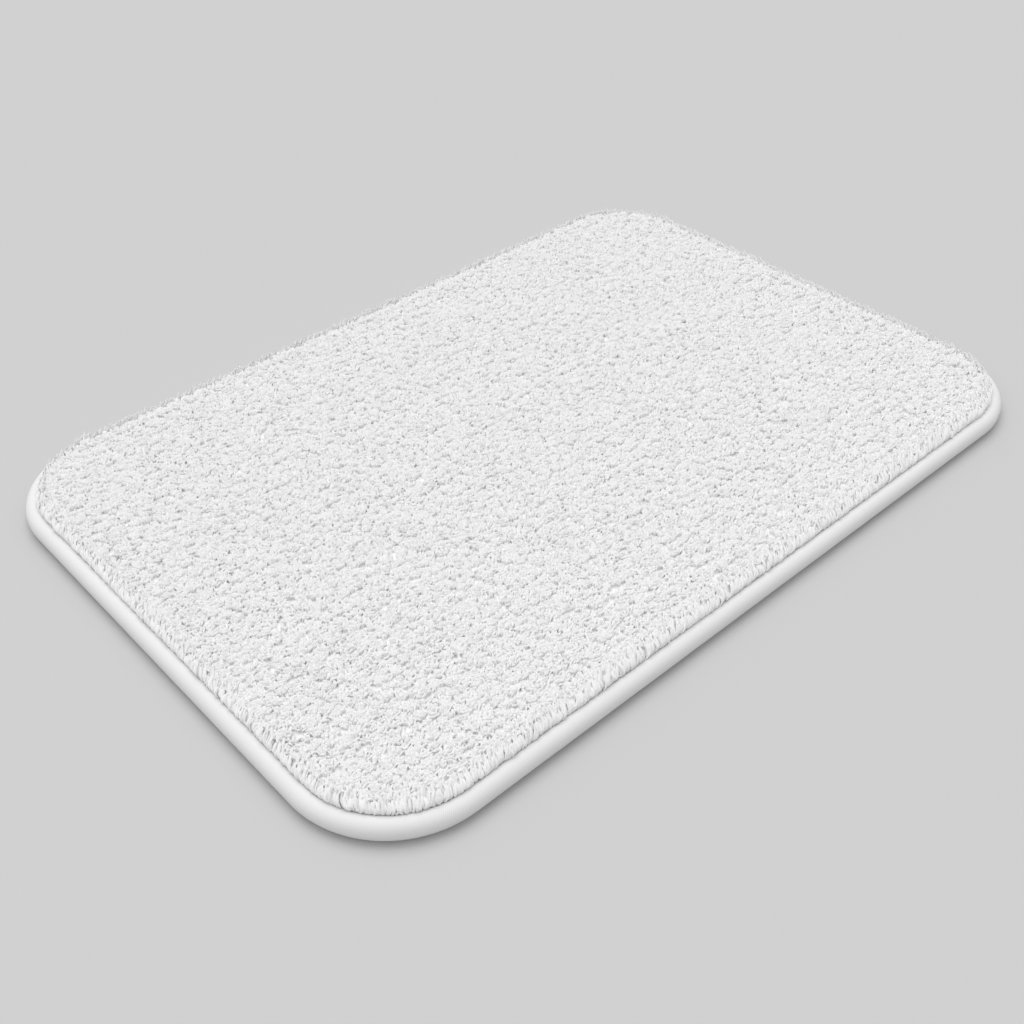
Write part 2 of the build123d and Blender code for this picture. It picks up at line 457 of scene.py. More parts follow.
def tuft_roots():
    """Every tuft's root, with its lean, reach, tone and spin: a few even rows that follow the
    edge, then straight rows along the mat, a little out of line as they are when tufted."""
    draw = np.random.default_rng(sizes().seed)
    # noise_vector takes its offsets from this seed, which is the time unless it is set
    noise.seed_set(sizes().seed + 1)
    step_x, step_y = sizes().stitch_spacing, sizes().row_spacing
    count_x, count_y = int(MAT_LENGTH / step_x), int(MAT_WIDTH / step_y)
    x, y = np.meshgrid((np.arange(count_x) - (count_x - 1) / 2) * step_x,
                       (np.arange(count_y) - (count_y - 1) / 2) * step_y)
    x = (x + step_x / 2 * (np.arange(count_y)[:, None] % 2)).ravel()
    y = y.ravel()
    x = x + draw.uniform(-JITTER[0], JITTER[0], x.size) * step_x
    y = y + draw.uniform(-JITTER[1], JITTER[1], y.size) * step_y
    inside = inward_depth(x, y)[0] > EDGE_ROWS[-1] + 0.55 * step_y
    places = [np.stack([x[inside], y[inside]], 1)]
    for number, depth in enumerate(EDGE_ROWS):
        inset = PILE_FOOT_INSET + depth
        count = round(edge_length(inset) / EDGE_ROW_STEP)
        along = np.arange(count) + 0.5 * number + draw.uniform(-0.25, 0.25, count)
        core, outward = edge_stations(along * edge_length(inset) / count, inset)
        row = place(core, outward, inset + draw.uniform(-0.3, 0.3, count) * MM, 0.0)
        places.append(row[:, :2])
    x, y = np.concatenate(places).T
    depth, out_x, out_y = inward_depth(x, y)

    share = np.clip(depth / SHOULDER_DEPTH, 0, 1)
    edge = (1 - share) ** SHOULDER_CURVE
    slope = EDGE_SLOPE * edge
    wander = np.array([noise.noise_vector(Vector((a, b, 0)) * PATCHES / 2) for a, b in zip(x, y)])
    stray = draw.normal(0, STRAY, (x.size, 2)) * (1 - 0.5 * edge[:, None])
    lean_x = out_x * slope + (NAP_WANDER * wander[:, 0] + NAP[0]) * (1 - edge) + stray[:, 0]
    lean_y = out_y * slope + (NAP_WANDER * wander[:, 1] + NAP[1]) * (1 - edge) + stray[:, 1]
    lean = np.stack([lean_x, lean_y, np.ones(x.size)], 1)

    inner = np.clip((depth - 3 * MM) / (8 * MM), 0, 1)
    root_height = PILE_FOOT_HEIGHT + (ROOT_TOP - PILE_FOOT_HEIGHT) * inner
    top = PILE_TOP - TOP_MARGIN - SHOULDER_DROP * edge ** 2
    rise = (top - root_height) * (1 + draw.normal(0, 0.05, x.size))
    swell = np.array([noise.noise(Vector((a, b, 5)) * PATCHES) for a, b in zip(x, y)])
    reach = (rise + SWELL * swell) * np.sqrt(1 + slope ** 2)
    points = np.stack([x, y, root_height], 1)
    tone = np.clip(0.5 + draw.normal(0, 0.2, x.size) + 0.2 * swell, 0, 1)
    opening = 0.4 + 0.6 * np.clip((depth - 2 * MM) / (9 * MM), 0, 1)
    return points, {
        "lean": lean, "reach": reach, "tone": tone, "open": opening,
        "spin": draw.uniform(0, 1, x.size), "face": np.tile((-0.2, -0.9, 0.0), (x.size, 1)),
        "strands": np.full(x.size, sizes().strands)}


WALL_PITCH = 7.0 * MM           # from one lobe of edge strands to the next
WALL_STRANDS = 8                # strands in a lobe
WALL_RADIUS = 1.0 * MM
# The two outermost rows: distance in from the pile's foot, top, outward slope
WALL_TIERS = ((0.2 * MM, 21.3 * MM, -0.08), (3.6 * MM, 22.8 * MM, 0.0))
LOBE_FILL = 0.95                # share of its pitch that a lobe takes up at its root
LOBE_SPLAY = 0.25               # sideways slope from the middle of a lobe to its sides, doubled
LOBE_LEAN, LOBE_TOP = 0.11, 0.35 * MM           # how much whole lobes vary in slope and height
STRAND_OUT, STRAND_ASIDE, STRAND_TOP = 0.08, 0.14, 0.9 * MM     # and single strands
FACE_STRAY, FACE_WEIGHT = 0.4, 4                # how the flat sides stray, and how firmly they face


def wall_roots():
    """Single strands of the outermost tufts. They stand in lobes, close together at the welt
    and splayed above, follow the nap and face out over the welt."""
    draw = np.random.default_rng(sizes().seed + 100)
    rows = []
    for number, (depth, top, slope) in enumerate(WALL_TIERS):
        inset = PILE_FOOT_INSET + depth
        lobes = round(edge_length(inset) / WALL_PITCH)
        lobe = np.repeat(np.arange(lobes), WALL_STRANDS)
        place_in = np.tile(np.arange(WALL_STRANDS) / (WALL_STRANDS - 1) - 0.5, lobes)
        spread = place_in + draw.normal(0, 0.09, lobe.size)
        along = (lobe + 0.5 * number) * edge_length(inset) / lobes + spread * LOBE_FILL * WALL_PITCH
        core, outward = edge_stations(along, inset)
        back = draw.uniform(-0.3, 0.9, lobe.size) * MM
        points = place(core, outward, inset + back, PILE_FOOT_HEIGHT - 0.1 * MM)
        lobe_lean = np.repeat(draw.normal(0, LOBE_LEAN, lobes), WALL_STRANDS)
        aim = complex(*NAP) + outward * draw.normal(slope, STRAND_OUT, lobe.size)
        aside = LOBE_SPLAY * spread + lobe_lean + draw.normal(0, STRAND_ASIDE, lobe.size)
        aim = aim + 1j * outward * aside
        tops = top + np.repeat(draw.normal(0, LOBE_TOP, lobes), WALL_STRANDS)
        rise = tops + draw.normal(0, STRAND_TOP, lobe.size) - points[:, 2]
        face = outward * (1 + 1j * draw.normal(0, FACE_STRAY, lobe.size)) * FACE_WEIGHT
        reach = rise * np.sqrt(1 + np.abs(aim) ** 2)
        rows.append(np.stack([*points.T, aim.real, aim.imag, face.real, face.imag, reach], 1))
    x, y, z, aim_x, aim_y, face_x, face_y, reach = np.concatenate(rows).T
    none = np.zeros(x.size)
    return np.stack([x, y, z], 1), {
        "lean": np.stack([aim_x, aim_y, none + 1], 1), "reach": reach,
        "tone": draw.uniform(0.2, 0.8, x.size), "open": none + 0.1, "spin": none,
        "strands": none + 1, "face": np.stack([face_x, face_y, none], 1)}


# Rings and tips of the two shapes of strand, as strand_shape takes them
STRAND_RINGS = ((0.0, 0.8, 0.36, -0.2), (0.86, 1.0, 0.4, 0.25))
STRAND_TIPS = ((0.4, -0.5, 0.97), (0.48, 0.45, 1.0))
# The edge strand goes out over the welt, then back in round the shoulder
WALL_RINGS = (
    (0.0, 0.9, 0.45, -0.1), (0.2, 1.0, 0.5, 1.0), (0.45, 1.0, 0.5, 1.6), (0.7, 0.9, 0.4, 1.3),
    (0.9, 0.65, 0.28, 0.5))
WALL_TIPS = ((0.2, -0.3, 0.96), (0.1, 0.25, 1.0))


def strand_shape(rings, tips):
    """One flat cut end of yarn, one unit long. Rings of (height, half width, half thickness,
    bend towards +X) lead up to two ragged points."""
    points = []
    for height, wide, thick, bend in rings:
        points += [(bend - thick, -wide, height), (bend + thick, -wide, height),
                   (bend + thick, wide, height), (bend - thick, wide, height)]
    last = len(points) - 4
    points += tips
    along = [point[2] for point in points]
    across = [-1, -1, 1, 1] * len(rings) + [-0.5, 0.5]
    faces = [(3, 2, 1, 0)]
    for base in range(0, last, 4):
        faces += [(base + k, base + (k + 1) % 4, base + 4 + (k + 1) % 4, base + 4 + k)
                  for k in range(4)]
    a, b, c, d, left, right = range(last, last + 6)
    faces += [(a, b, left), (b, c, right, left), (c, d, right), (d, a, left, right)]
    return make_mesh("strand", points, faces, {"along": along, "across": across})


def pile_tree():
    """Tufts: each root becomes a ring of strands that fan out round the tuft's own lean."""
    tree, given = start_tree("Cut tufts", [
        ("Strand", "Object"), ("Tuft radius", "Float"), ("Strand radius", "Float"),
        ("Fan", "Float"), ("Scatter", "Float"), ("Seed", "Int"), ("Material", "Material")])
    add = partial(add_node, tree)
    read = {
        label: add(ATTRIBUTE, {"Name": label}, data_type=kind)
        for label, kind in (
            ("lean", "FLOAT_VECTOR"), ("face", "FLOAT_VECTOR"), ("reach", "FLOAT"),
            ("tone", "FLOAT"), ("spin", "FLOAT"), ("open", "FLOAT"), ("strands", "FLOAT"))
    }
    roots = add("GeometryNodeMeshToPoints", {"Mesh": given["Geometry"]})
    copies = add(
        "GeometryNodeDuplicateElements", {"Geometry": roots, "Amount": read["strands"]},
        domain="POINT")
    number = copies.outputs["Duplicate Index"]
    start = add(MATH, {0: read["spin"], 1: FULL_TURN}, operation="MULTIPLY")
    turn = add(MATH, {0: number, 1: GOLDEN_ANGLE, 2: start}, operation="MULTIPLY_ADD")
    count = add(MATH, {0: number, 1: 0.5}, operation="ADD")
    share = add(MATH, {0: count, 1: read["strands"]}, operation="DIVIDE")
    ring = add(MATH, {0: share}, operation="SQRT")
    cosine = add(MATH, {0: turn}, operation="COSINE")
    sine = add(MATH, {0: turn}, operation="SINE")
    way = add("ShaderNodeCombineXYZ", {0: cosine, 1: sine})
    from_middle = add(VECTOR_MATH, {0: way, "Scale": ring}, operation="SCALE")
    wide = add(MATH, {0: read["open"], 1: 2.5}, operation="MULTIPLY", use_clamp=True)
    radius = add(MATH, {0: wide, 1: given["Tuft radius"]}, operation="MULTIPLY")
    offset = add(VECTOR_MATH, {0: from_middle, "Scale": radius}, operation="SCALE")
    spread = add("GeometryNodeSetPosition", {"Geometry": copies, "Offset": offset})

    # Which way each strand leans: with its tuft, out of its tuft, and a little astray
    stray = add(
        "FunctionNodeRandomValue", {0: (-1, -1, 0), 1: (1, 1, 0), "Seed": given["Seed"]},
        data_type="FLOAT_VECTOR")
    fan = add(MATH, {0: read["open"], 1: given["Fan"]}, operation="MULTIPLY")
    scatter = add(MATH, {0: read["open"], 1: given["Scatter"]}, operation="MULTIPLY")
    fanned = add(VECTOR_MATH, {0: from_middle, "Scale": fan}, operation="SCALE")
    strayed = add(VECTOR_MATH, {0: stray, "Scale": scatter}, operation="SCALE")
    leant = add(VECTOR_MATH, {0: read["lean"], 1: fanned}, operation="ADD")
    aim = add(VECTOR_MATH, {0: leant, 1: strayed}, operation="ADD")
    # Which way its flat side faces: mostly with its row, as the yarn is laid
    outer = add(VECTOR_MATH, {0: way, "Scale": 0.3}, operation="SCALE")
    turned = add(VECTOR_MATH, {0: stray, "Scale": 0.9}, operation="SCALE")
    laid = add(VECTOR_MATH, {0: read["face"], 1: outer}, operation="ADD")
    flat = add(VECTOR_MATH, {0: laid, 1: turned}, operation="ADD")
    facing = add("FunctionNodeAlignRotationToVector", {"Vector": flat}, axis="X", pivot_axis="Z")
    aimed = add("FunctionNodeAlignRotationToVector", {"Rotation": facing, "Vector": aim}, axis="Z")

    chance = [
        add("FunctionNodeRandomValue", {2: least, 3: most, "Seed": seed},
                 data_type="FLOAT")
        for least, most, seed in ((0.8, 1.2, 11), (0.86, 1.08, 12), (-0.3, 0.3, 13))
    ]
    thick = add(MATH, {0: chance[0], 1: given["Strand radius"]}, operation="MULTIPLY")
    long = add(MATH, {0: chance[1], 1: read["reach"]}, operation="MULTIPLY")
    size = add("ShaderNodeCombineXYZ", {0: thick, 1: thick, 2: long})
    tone = add(MATH, {0: read["tone"], 1: chance[2]}, operation="ADD", use_clamp=True)
    toned = add(
        "GeometryNodeStoreNamedAttribute",
        {"Geometry": spread, "Name": "tone", "Value": tone}, data_type="FLOAT", domain="POINT")
    kept = add(
        "GeometryNodeStoreNamedAttribute",
        {"Geometry": toned, "Name": "aim", "Value": read["lean"]},
        data_type="FLOAT_VECTOR", domain="POINT")
    strand = add("GeometryNodeObjectInfo", {"Object": given["Strand"]})
    placed = add("GeometryNodeInstanceOnPoints", {
        "Points": kept, "Instance": strand.outputs["Geometry"], "Rotation": aimed,
        "Scale": size})
    return end_tree(tree, placed, given["Material"])


def build_pile_bed(material):
    """The dense foot of the pile, where the strands stand too close to part."""
    rest = WELT_RADIUS + 0.3 * MM
    # Where the bed lies against the welt, up to where it rises from it
    angles = np.radians(np.linspace(55, 24.3, 6))
    beside_welt = zip(WELT_RADIUS + rest * np.cos(angles), WELT_RADIUS + rest * np.sin(angles))
    channel = SEAM_RADIUS + 0.1 * MM
    deep = PILE_BOTTOM + 2 * SEAM_RADIUS + 0.1 * MM
    inner = 40 * MM
    section = [
        (inner, BED_TOP), (15.5 * MM, BED_TOP), (12.8 * MM, BED_TOP - 0.9 * MM),
        (11.4 * MM, BED_TOP - 3 * MM), *beside_welt,
        (SEAM_INSET - channel, PILE_BOTTOM), (SEAM_INSET - channel, deep),
        (SEAM_INSET + channel, deep), (SEAM_INSET + channel, PILE_BOTTOM), (inner, PILE_BOTTOM),
    ]
    bed = round_body("pile_bed", section, 320)
    # The bed takes the colour low on the strands, which is painted paler: painted light against the
    # shade at the foot of the pile
    even = np.full(len(bed.data.vertices), 0.4, np.float32)
    for label in ("along", "tone"):
        bed.data.attributes.new(label, "FLOAT", "POINT").data.foreach_set("value", even)
    wear(bed, material)
    finish_piece(bed, "pile")


# Share of a tuft's own direction in its strands' shading
FLUFF = 0.4
WALL_FLUFF = 0.35


def read_floats(data, key, width=1):
    values = np.empty(len(data) * width, np.float32)
    data.foreach_get(key, values)
    return values.reshape(-1, width)


def soften_shading(mesh, share):
    """Turns the shading normals towards the tuft's direction, as loose fibres scatter light."""
    facing = read_floats(mesh.vertex_normals, "vector", 3)
    aim = read_floats(mesh.attributes["aim"].data, "vector", 3)
    soft = (1 - share) * facing + share * aim / np.linalg.norm(aim, axis=1, keepdims=True)
    soft /= np.linalg.norm(soft, axis=1, keepdims=True)
    mesh.normals_split_custom_set_from_vertices(soft.tolist())


def map_tones(mesh):
    """A bake map on which every strand lies at its own tone, from root to tip."""
    along, across, tone = (
        read_floats(mesh.attributes[label].data, "value") for label in ("along", "across", "tone"))
    places = np.hstack([0.03 + 0.94 * tone + 0.025 * across, 0.02 + 0.96 * along])
    corners = np.empty(len(mesh.loops), np.int32)
    mesh.loops.foreach_get("vertex_index", corners)
    layer = mesh.uv_layers.new(name="OFBake")
    layer.data.foreach_set("uv", places[corners].astype(np.float32).ravel())


def grow_strands(tree, name, roots, fluff, chosen):
    """Grows strands from roots, (points, facts), with the chosen inputs, on the mat."""
    points, facts = roots
    tufts = run_tree(make_mesh("roots", points, [], facts), tree, name, {
        "Tuft radius": sizes().tuft_radius, "Fan": sizes().fan, "Scatter": sizes().scatter,
        **chosen})
    soften_shading(tufts.data, fluff)
    map_tones(tufts.data)
    finish_piece(tufts, "pile")


def build_pile():
    """The bed, then the tufts in tiles along the mat, then the strands of the edge."""
    material = pile_material()
    build_pile_bed(material)
    tree = pile_tree()
    seed = sizes().seed
    strand = strand_shape(STRAND_RINGS, STRAND_TIPS)
    points, facts = tuft_roots()
    order = np.argsort(points[:, 0], kind="stable")
    for number, tile in enumerate(np.array_split(order, PILE_TILES), 1):
        some = points[tile], {label: values[tile] for label, values in facts.items()}
        grow_strands(tree, f"pile_tufts_{number}", some, FLUFF, {
            "Strand": strand, "Strand radius": sizes().strand_radius, "Seed": seed + number,
            "Material": material})
    bpy.data.objects.remove(strand)
    strand = strand_shape(WALL_RINGS, WALL_TIPS)
    grow_strands(tree, "pile_edge_tufts", wall_roots(), WALL_FLUFF, {
        "Strand": strand, "Strand radius": WALL_RADIUS, "Seed": seed, "Material": material})
    bpy.data.objects.remove(strand)


# ---- Welt ----

RINGS_PER_RIB = 3
INNER_STEP = 8                  # rings of the cover's face for each ring of its lining side
TUBE_STEPS = 16
LINING_STEPS = 14


def rib_tree():
    """Ribs: ridges across a swept cloth or cord. Each point's phase counts the ridges."""
    tree, given = start_tree("Ribs", [
        ("Depth", "Float"), ("Unevenness", "Float"), ("Material", "Material")])
    add = partial(add_node, tree)
    phase = add(ATTRIBUTE, {"Name": "phase"}, data_type="FLOAT")
    out = add(ATTRIBUTE, {"Name": "out"}, data_type="FLOAT_VECTOR")
    angle = add(MATH, {0: phase, 1: FULL_TURN}, operation="MULTIPLY")
    wave = add(MATH, {0: angle}, operation="SINE")
    ridge = add(MATH, {0: wave, 1: 0.5, 2: 0.5}, operation="MULTIPLY_ADD")
    place_on = add("GeometryNodeInputPosition")
    swell = add("ShaderNodeTexNoise", {"Vector": place_on, "Scale": 22.0})
    wander = add(MATH, {0: swell, 1: 0.5}, operation="SUBTRACT")
    uneven = add(MATH, {0: wander, 1: given["Unevenness"]}, operation="MULTIPLY")
    level = add(MATH, {0: ridge, 1: 0.5}, operation="SUBTRACT")
    lift = add(MATH, {0: level, 1: given["Depth"], 2: uneven}, operation="MULTIPLY_ADD")
    offset = add(VECTOR_MATH, {0: out, "Scale": lift}, operation="SCALE")
    shaped = add("GeometryNodeSetPosition", {"Geometry": given["Geometry"], "Offset": offset})
    # The ridge is kept for the welt's cloth, which uses it to paint shade into the rib valleys
    kept = add(
        "GeometryNodeStoreNamedAttribute",
        {"Geometry": shaped, "Name": "ridge", "Value": ridge}, data_type="FLOAT",
        domain="POINT")
    return end_tree(tree, kept, given["Material"])


def rib_lean(distance, inset):
    """How far the ribs slant, as a slope: nearly square to the sides and slanted at corners,
    where the bias-cut cloth turns."""
    outward = edge_stations(distance, inset)[1]
    # 0 in the middle of a side, 1 in the middle of a corner
    turned = np.abs(np.sin(2 * np.angle(outward)))
    return 0.08 + 0.6 * turned


def section_angles(count):
    """Angles round the welt from the flange's upper side, over the top, to its lower side."""
    first = math.asin((FOAM_TOP - WELT_RADIUS) / WELT_RADIUS)
    last = FULL_TURN + math.asin((FLANGE_BOTTOM - WELT_RADIUS) / WELT_RADIUS)
    return np.linspace(first, last, count)


def tube_points(core, outward, angles, radius):
    """Points on a tube round the welt's centre line, and their outward directions."""
    cosine, sine = np.cos(angles)[None, :], np.sin(angles)[None, :]
    points = place(core, outward, WELT_RADIUS + radius * cosine, WELT_RADIUS + radius * sine)
    across = -outward * cosine
    return points, np.stack([across.real, across.imag, sine + 0 * across.real], -1)


def welt_columns(angles, radius, distance):
    """Points of a slanted ring of cloth round the welt, their outward directions and places."""
    lean = rib_lean(distance, WELT_RADIUS)[:, None]
    slant = distance[:, None] + lean * (math.pi - angles)[None, :] * WELT_RADIUS
    core, outward = edge_stations(slant, WELT_RADIUS)
    return tube_points(core, outward, angles, radius)


def flange_column(distance, slant_angle, height):
    """Points of one cut edge of the flange."""
    slant = rib_lean(distance, WELT_RADIUS) * (math.pi - slant_angle) * WELT_RADIUS
    core, outward = edge_stations(distance + slant, WELT_RADIUS)
    return place(core, outward, FLANGE_END, height)


def build_welt_cover(tree):
    """A bias-cut strip wrapped round the cord, with both edges turned in as the flange. The
    face carries the ribs. The lining side has fewer rings, and joins the face at the cut edges."""
    path = edge_length(WELT_RADIUS)
    ribs = round(path / sizes().rib_pitch / INNER_STEP) * INNER_STEP
    rings = ribs * RINGS_PER_RIB
    distance = np.arange(rings) / rings * path
    angles = section_angles(TUBE_STEPS)
    face, out = welt_columns(angles, WELT_RADIUS, distance)
    upper = flange_column(distance, angles[0], FOAM_TOP)
    lower = flange_column(distance, angles[-1], FLANGE_BOTTOM)
    face = np.concatenate([upper[:, None], face, lower[:, None]], 1)
    out = np.pad(out, ((0, 0), (1, 1), (0, 0)))
    phase = np.repeat((np.arange(rings) / RINGS_PER_RIB)[:, None], face.shape[1], 1)

    slit = 0.05 * MM
    middle = (FOAM_TOP + FLANGE_BOTTOM) / 2
    inner_radius = WELT_RADIUS - COVER_THICKNESS
    few = distance[::INNER_STEP]
    dip = math.asin((middle - WELT_RADIUS) / inner_radius)
    inner_angles = np.linspace(dip + 0.01, FULL_TURN + dip - 0.01, LINING_STEPS)
    # Its flat steps go round the cord, not through it
    lining_radius = inner_radius / math.cos(math.pi / LINING_STEPS / 1.05)
    lining = welt_columns(inner_angles, lining_radius, few)[0]
    lining_upper = flange_column(few, angles[0], middle + slit)
    lining_lower = flange_column(few, angles[-1], middle - slit)
    lining = np.concatenate([lining_upper[:, None], lining, lining_lower[:, None]], 1)

    columns, inner_columns = face.shape[1], lining.shape[1]
    faces = grid_faces(rings, columns, closed=False)
    start = rings * columns
    inner_quads = grid_faces(len(few), inner_columns, closed=False)
    faces += [tuple(start + i for i in quad) for quad in inner_quads]
    half = INNER_STEP // 2
    for edge, inner_edge in ((0, 0), (columns - 1, inner_columns - 1)):
        for ring in range(len(few)):
            here = start + ring * inner_columns + inner_edge
            after = start + (ring + 1) % len(few) * inner_columns + inner_edge
            outer = [(ring * INNER_STEP + k) % rings * columns + edge for k in range(INNER_STEP + 1)]
            faces += [(here, outer[k], outer[k + 1]) for k in range(half)]
            faces.append((here, outer[half], after))
            faces += [(after, outer[k], outer[k + 1]) for k in range(half, INNER_STEP)]
    points = np.concatenate([face.reshape(-1, 3), lining.reshape(-1, 3)])
    plain = np.zeros((len(few) * inner_columns, 3))
    cloth = make_mesh("welt_cloth", points, faces, {
        "phase": np.concatenate([phase.ravel(), plain[:, 0]]),
        "out": np.concatenate([out.reshape(-1, 3), plain])})
    cover = run_tree(cloth, tree, "welt_cover_cloth", {
        "Depth": sizes().rib_depth, "Unevenness": 0.25 * MM, "Material": welt_material()})
    finish_piece(cover, "welt_cover")


def build_welt_cord(tree):
    """Three-ply filler cord, so its surface is six shallow twisted lobes."""
    steps, rings, lobes, lay = 24, 700, 6, 60 * MM
    path = edge_length(WELT_RADIUS)
    turns = round(path / lay)
    distance = np.arange(rings) / rings * path
    angles = np.arange(steps) / steps * FULL_TURN
    core, outward = edge_stations(distance[:, None], WELT_RADIUS)
    points, out = tube_points(core, outward, angles, CORD_RADIUS - 0.35 * MM)
    phase = lobes * angles[None] / FULL_TURN + lobes * turns * distance[:, None] / path
    cord = make_mesh("cord", points.reshape(-1, 3), grid_faces(rings, steps, True), {
        "phase": phase.ravel(), "out": out.reshape(-1, 3)})
    cord = run_tree(cord, tree, "welt_cord_twisted", {
        "Depth": 0.6 * MM, "Unevenness": 0.0,
        "Material": mottled_material(
            "polyester_fibre_spun", linear("#F0F0EE"), 0.5 * MM, 0.08 * MM, 0.95, specular=0.2)})
    finish_piece(cord, "welt_cord")


# ---- Layers ----

LAYER_RINGS = 360


def soft_edge(inset, height, turn, soft):
    """Three section points that round a cut edge: turn is 1 at its top and -1 at its bottom."""
    points = [
        (inset + 2 * soft, height), (inset + 0.4 * soft, height - turn * 0.2 * soft),
        (inset, height - turn * soft)]
    return points[::turn]


def layer_section(node, soft=0.25 * MM):
    """A flat layer's section, with its cut edges a little rounded."""
    bottom, top = low(node).z, high(node).z
    inner = LAYER_INSET + 30 * MM
    return [(inner, top), *soft_edge(LAYER_INSET, top, 1, soft),
            *soft_edge(LAYER_INSET, bottom, -1, soft), (inner, bottom)]


def build_backings():
    """The woven cloths over and under the foam, and the latex under the upper one."""
    weave = woven_material("polypropylene_plain_weave", colours().backing, 0.9 * MM)
    latex = mottled_material("latex_cured_matt", linear("#EDE8D8"), 2.5 * MM, 0.1 * MM, 0.6, spread=0.9)
    for name, node, slot, material, waver, under in (
            ("primary_backing_cloth", "primary_backing", "backing_cloth", weave, 0.12,
             "latex_coating"),
            ("secondary_backing_cloth", "secondary_backing", "backing_cloth", weave, 0.12,
             "grip_sheet"),
            ("latex_coating", "latex_coat", "latex", latex, 0.25, "foam_core_slab")):
        layer = round_body(name, layer_section(node), LAYER_RINGS, waver * MM)
        wear(layer, material)
        finish_piece(layer, node)


def build_foam():
    """The foam slab, rebated round its top edge for the flange, its cut edges softened."""
    shelf = FLANGE_BOTTOM - FLANGE_CLEARANCE
    shoulder = FLANGE_END + FLANGE_CLEARANCE
    inner = shoulder + 30 * MM
    soft = 0.3 * MM
    section = [
        (inner, FOAM_TOP), *soft_edge(shoulder, FOAM_TOP, 1, soft), (shoulder, shelf),
        *soft_edge(LAYER_INSET, shelf, 1, soft), *soft_edge(LAYER_INSET, FOAM_BOTTOM, -1, soft),
        (inner, FOAM_BOTTOM)]
    foam = round_body("foam_core_slab", section, LAYER_RINGS, 0.15 * MM)
    wear(foam, foam_material())
    finish_piece(foam, "foam_core")


def finish_grip_sheet():
    """The moulded rubber sheet keeps its own shape, and gets its finish."""
    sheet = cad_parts["grip_sheet"]
    wear(sheet, mottled_material(
        "thermoplastic_rubber_moulded", colours().rubber, 0.35 * MM, 0.05 * MM, 0.6,
        spread=0.94))


# ---- Threads and label ----

def stitch_shape(half_length, radius, sink, across=False):
    """One stitch, along X or across it: a thread whose ends sink into the cloth."""
    stops, sides = 7, 6
    points = []
    for stop in range(stops):
        share = 2 * stop / (stops - 1) - 1
        girth = radius * (1 - 0.35 * share ** 4)
        for side in range(sides):
            turn = FULL_TURN * side / sides
            run, aside = half_length * share, girth * math.cos(turn)
            height = girth * math.sin(turn) + sink * share ** 4
            points.append((aside, run, height) if across else (run, aside, height))
    return make_mesh("stitch", points, capped_faces(stops, sides))


def stitch_tree():
    """A row of stitches, evenly spaced along a path and turned to follow it."""
    tree, given = start_tree("Stitch row", [
        ("Stitch", "Object"), ("Count", "Int"), ("Material", "Material")])
    add = partial(add_node, tree)
    line = add("GeometryNodeCurveToPoints", {
        "Curve": given["Geometry"], "Count": given["Count"]}, mode="COUNT")
    along = add(
        "FunctionNodeAlignRotationToVector", {"Vector": line.outputs["Tangent"]},
        axis="X", pivot_axis="Z")
    stitch = add("GeometryNodeObjectInfo", {"Object": given["Stitch"]})
    row = add("GeometryNodeInstanceOnPoints", {
        "Points": line.outputs["Points"], "Instance": stitch.outputs["Geometry"],
        "Rotation": along.outputs[0]})
    return end_tree(tree, row.outputs[0], given["Material"])


def path_curve(points, cyclic):
    curve = bpy.data.curves.new("path", "CURVE")
    curve.dimensions = "3D"
    spline = curve.splines.new("POLY")
    spline.points.add(len(points) - 1)
    spline.points.foreach_set("co", np.c_[points, np.ones(len(points))].ravel())
    spline.use_cyclic_u = cyclic
    path = bpy.data.objects.new("path", curve)
    bpy.context.scene.collection.objects.link(path)
    return path


def stitch_round(tree, name, inset, height, sink, material):
    """A row of stitches right round the mat."""
    path_length = edge_length(inset)
    pitch = sizes().stitch_pitch
    core, outward = edge_stations(np.arange(800) / 800 * path_length, inset)
    path = path_curve(place(core, outward, inset, height), cyclic=True)
    stitch = stitch_shape(0.44 * pitch, SEAM_RADIUS * 0.85, sink)
    row = run_tree(path, tree, name, {
        "Stitch": stitch, "Count": round(path_length / pitch), "Material": material})
    bpy.data.objects.remove(stitch)
    return row


def build_threads():
    """The two seams. Each row shows one thread of its lockstitch."""
    thread = mottled_material(
        "polyester_thread_twisted", linear("#F4F4F2"), 0.3 * MM, 0.05 * MM, 0.7, spread=0.9)
    tree = stitch_tree()
    half = SEAM_RADIUS
    rows = (
        ("seam_stitches_upper", SEAM_INSET, PILE_BOTTOM + half, -half, "upper_seam_thread"),
        ("seam_stitches_lower", SEAM_INSET, FILM_BOTTOM - half, half, "lower_seam_thread"),
        ("closing_stitches_upper", CLOSING_INSET, FOAM_TOP + half, -half, "cover_closing_thread"),
        ("closing_stitches_lower", CLOSING_INSET, FLANGE_BOTTOM - half, half,
         "cover_closing_thread"),
    )
    for name, inset, height, sink, node in rows:
        finish_piece(stitch_round(tree, name, inset, height, sink, thread), node)
    box_low, box_high = low("label_tacks"), high("label_tacks")
    middle_x = (box_low.x + box_high.x) / 2
    tack_run, ply = 8 * MM, 0.16 * MM
    stitch = stitch_shape((box_high.x - box_low.x) / 2, ply, 1.2 * ply, across=True)
    for number, first in enumerate((box_low.y, box_high.y - tack_run), 1):
        ends = [(middle_x, first + ply, box_high.z - ply),
                (middle_x, first + tack_run - ply, box_high.z - ply)]
        tack = run_tree(path_curve(np.array(ends), cyclic=False), tree, f"label_tack_{number}", {
            "Stitch": stitch, "Count": 26, "Material": thread})
        finish_piece(tack, "label_tacks")
    bpy.data.objects.remove(stitch)


